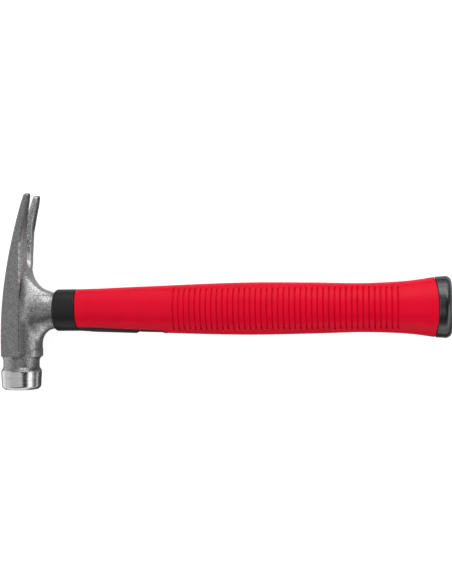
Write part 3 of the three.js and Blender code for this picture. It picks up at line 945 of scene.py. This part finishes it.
black = moulded(
    "black_plastic_satin", (0.002, 0.002, 0.0025), (0.004, 0.004, 0.0045), 0.36, 0.44, 0.5, 0.02,
    specular=0.37,
)
rubber = moulded(
    "guard_rubber_matt", (0.007, 0.007, 0.007), (0.011, 0.011, 0.011), 0.5, 0.6, 0.4, 0.03,
    specular=0.35,
)
gloss = moulded(
    "black_plastic_gloss", (0.004, 0.004, 0.0045), (0.005, 0.005, 0.0055), 0.24, 0.3, 0.5, 0.01,
    specular=0.9,
)
# The sleeve's grooves get a painted shade in a darker red
red = moulded(
    "red_grip_satin", (0.76, 0.001, 0.023), (0.81, 0.001, 0.026), 0.34, 0.40, 0.35, 0.02,
    specular=0.12, groove=(0.52, 0.001, 0.017),
)
epoxy = moulded("resin_cured", (0.016, 0.015, 0.012), (0.030, 0.027, 0.021), 0.2, 0.3, 2.5, 0.12)

head = build_head()
mark_head(head)
dress(head, "hammer_head", forged_steel())
dress(build_resin(), "eye_resin", epoxy)
dress(build_jacket(), "handle_jacket", black)
dress(build_guard(), "overstrike_guard", rubber)
dress(build_grip(), "grip_sleeve", red)
dress(build_cap(), "end_cap", gloss)

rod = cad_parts["core_rod"]
rod.data.materials.clear()
rod.data.materials.append(glass_fibre())


# Studio

def plain_card(name, along, across, drop, shade):
    """A flat grey card of the stage, a little below the tool."""
    left, right = along
    near, far = across
    mesh = bpy.data.meshes.new(name)
    corners = [(left, near, 0), (right, near, 0), (right, far, 0), (left, far, 0)]
    mesh.from_pydata(corners, [], [(0, 1, 2, 3)])
    card = bpy.data.objects.new(name, mesh)
    card.location.z = -drop
    bpy.context.scene.collection.objects.link(card)
    material = bpy.data.materials.new(name)
    material.use_nodes = True
    surface = material.node_tree.nodes["Principled BSDF"]
    surface.inputs["Base Color"].default_value = (shade, shade, shade, 1)
    surface.inputs["Roughness"].default_value = 1.0
    mesh.materials.append(material)
    return card, surface


def build_floor():
    """White to the camera, reflections and refractions, with the tool's shadow on it."""
    ends = (-FLOOR_HALF, FLOOR_HALF)
    floor, surface = plain_card("floor", ends, ends, FLOOR_DROP, FLOOR_SHADE)
    surface.inputs["Specular IOR Level"].default_value = 0.0
    surface.inputs["Emission Color"].default_value = (1, 1, 1, 1)
    tree = floor.data.materials[0].node_tree
    path = tree.nodes.new("ShaderNodeLightPath")
    seen = path.outputs["Is Camera Ray"]
    for ray in ("Is Glossy Ray", "Is Transmission Ray"):
        either = tree.nodes.new("ShaderNodeMath")
        either.operation = "MAXIMUM"
        tree.links.new(seen, either.inputs[0])
        tree.links.new(path.outputs[ray], either.inputs[1])
        seen = either.outputs[0]
    glow = tree.nodes.new("ShaderNodeMath")
    glow.operation = "MULTIPLY"
    glow.inputs[1].default_value = FLOOR_GLOW
    tree.links.new(seen, glow.inputs[0])
    tree.links.new(glow.outputs[0], surface.inputs["Emission Strength"])


def build_flag(name, along, across, shade):
    """A card that only reflections see, so that shiny edges stand out from the white."""
    flag, _ = plain_card(name, along, across, FLAG_DROP, shade)
    flag.visible_camera = False
    flag.visible_diffuse = False
    flag.visible_shadow = False


def build_world():
    """White to the camera; as light, pale all round and darker overhead and to the right."""
    world = bpy.data.worlds.new("studio")
    bpy.context.scene.world = world
    world.use_nodes = True
    tree = world.node_tree
    places = tree.nodes.new("ShaderNodeTexCoord")
    split = tree.nodes.new("ShaderNodeSeparateXYZ")
    tree.links.new(places.outputs["Generated"], split.inputs[0])
    light = tree.nodes.new("ShaderNodeMix")
    light.data_type = "RGBA"
    light.blend_type = "MULTIPLY"
    light.inputs["Factor"].default_value = 1.0
    for socket, (axis, start, end, pale, dark) in zip((MIX_A, MIX_B), WORLD_RAMPS):
        ramp = tree.nodes.new("ShaderNodeValToRGB")
        ramp.color_ramp.elements[0].position = start
        ramp.color_ramp.elements[0].color = (pale, pale, pale, 1)
        ramp.color_ramp.elements[1].position = end
        ramp.color_ramp.elements[1].color = (dark, dark, dark, 1)
        tree.links.new(split.outputs[axis], ramp.inputs["Fac"])
        tree.links.new(ramp.outputs["Color"], light.inputs[socket])
    path = tree.nodes.new("ShaderNodeLightPath")
    seen = tree.nodes.new("ShaderNodeMix")
    seen.data_type = "RGBA"
    seen.inputs[MIX_B].default_value = (1, 1, 1, 1)
    tree.links.new(path.outputs["Is Camera Ray"], seen.inputs["Factor"])
    tree.links.new(light.outputs[MIX_RESULT], seen.inputs[MIX_A])
    tree.links.new(seen.outputs[MIX_RESULT], tree.nodes["Background"].inputs["Color"])


def area_light(name, place, aim, size, watts, in_reflections):
    data = bpy.data.lights.new(name, "AREA")
    data.shape = "RECTANGLE"
    data.size, data.size_y = size
    data.energy = watts
    lamp = bpy.data.objects.new(name, data)
    lamp.location = place
    lamp.rotation_euler = (Vector(aim) - Vector(place)).to_track_quat("-Z", "Y").to_euler()
    lamp.visible_glossy = in_reflections
    bpy.context.scene.collection.objects.link(lamp)


def build_camera():
    data = bpy.data.cameras.new("camera")
    data.sensor_width = SENSOR
    data.lens = FOCAL_PIXELS * SENSOR / PHOTO_HEIGHT
    data.clip_start = 0.01
    data.clip_end = 20
    camera = bpy.data.objects.new("camera", data)
    lean = Matrix.Rotation(CAMERA_LEAN, 4, "Y") @ Matrix.Rotation(CAMERA_ROLL, 4, "Z")
    back = Vector((math.sin(CAMERA_LEAN), 0, math.cos(CAMERA_LEAN)))
    aim = Vector(CAMERA_AIM) * MM + Vector(ORIGIN)
    camera.matrix_world = Matrix.Translation(aim + CAMERA_DISTANCE * back) @ lean
    bpy.context.scene.collection.objects.link(camera)
    bpy.context.scene.camera = camera


build_floor()
build_world()
for flag in FLAGS:
    build_flag(*flag)
for lamp in LAMPS:
    area_light(*lamp)
build_camera()
bpy.context.scene.view_settings.view_transform = "Standard"
